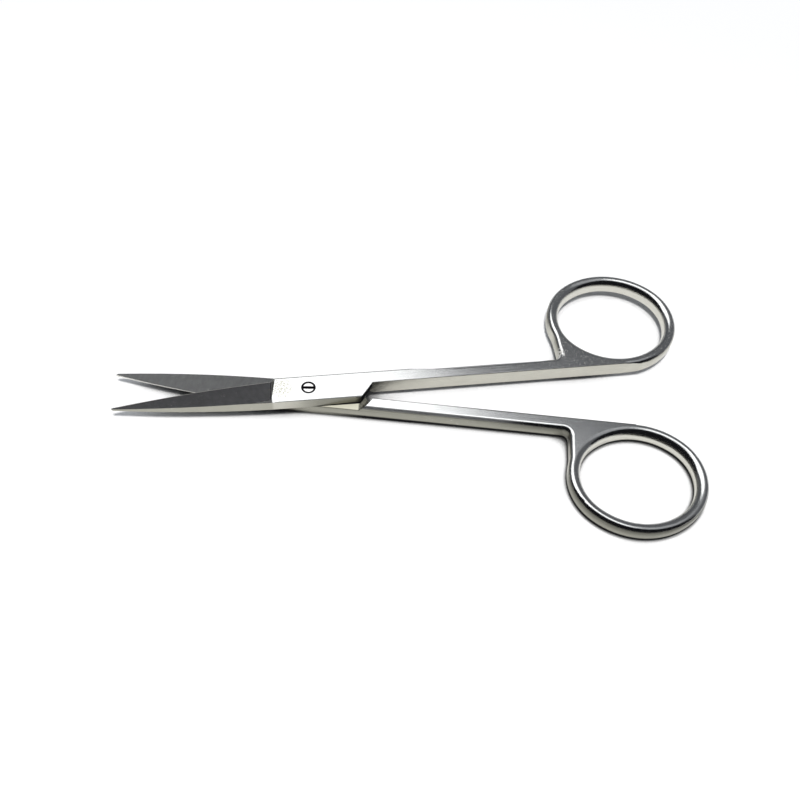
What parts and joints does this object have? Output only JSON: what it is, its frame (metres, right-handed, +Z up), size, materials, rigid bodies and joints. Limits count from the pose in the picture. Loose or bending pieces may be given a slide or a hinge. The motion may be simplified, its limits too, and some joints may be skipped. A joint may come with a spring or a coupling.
{
  "type": "iris scissors",
  "caption": "Small straight surgical scissors with bevelled pointed blades, a half-lap box, a slotted pivot screw and oval finger rings.",
  "frame": {"origin": "on the pivot axis, at the flat underside of the lap that the scissors lie on", "axes": "+X towards the finger rings along the line that halves the opening, +Z up along the pivot axis"},
  "size_m": [0.1121, 0.0604, 0.0046],
  "materials": {
    "polished_steel": "satin",
    "screw_steel": "polished"
  },
  "bodies": {
    "lower": {"lower_half": "polished_steel", "pivot_screw": "screw_steel"},
    "upper": {"upper_half": "polished_steel"}
  },
  "joints": [
    {"name": "pivot", "type": "hinge", "parent": "lower", "child": "upper", "pos_m": [0, 0, 0.0023], "axis": [0, 0, 1], "range_deg": [-12.3, 132]}
  ]
}
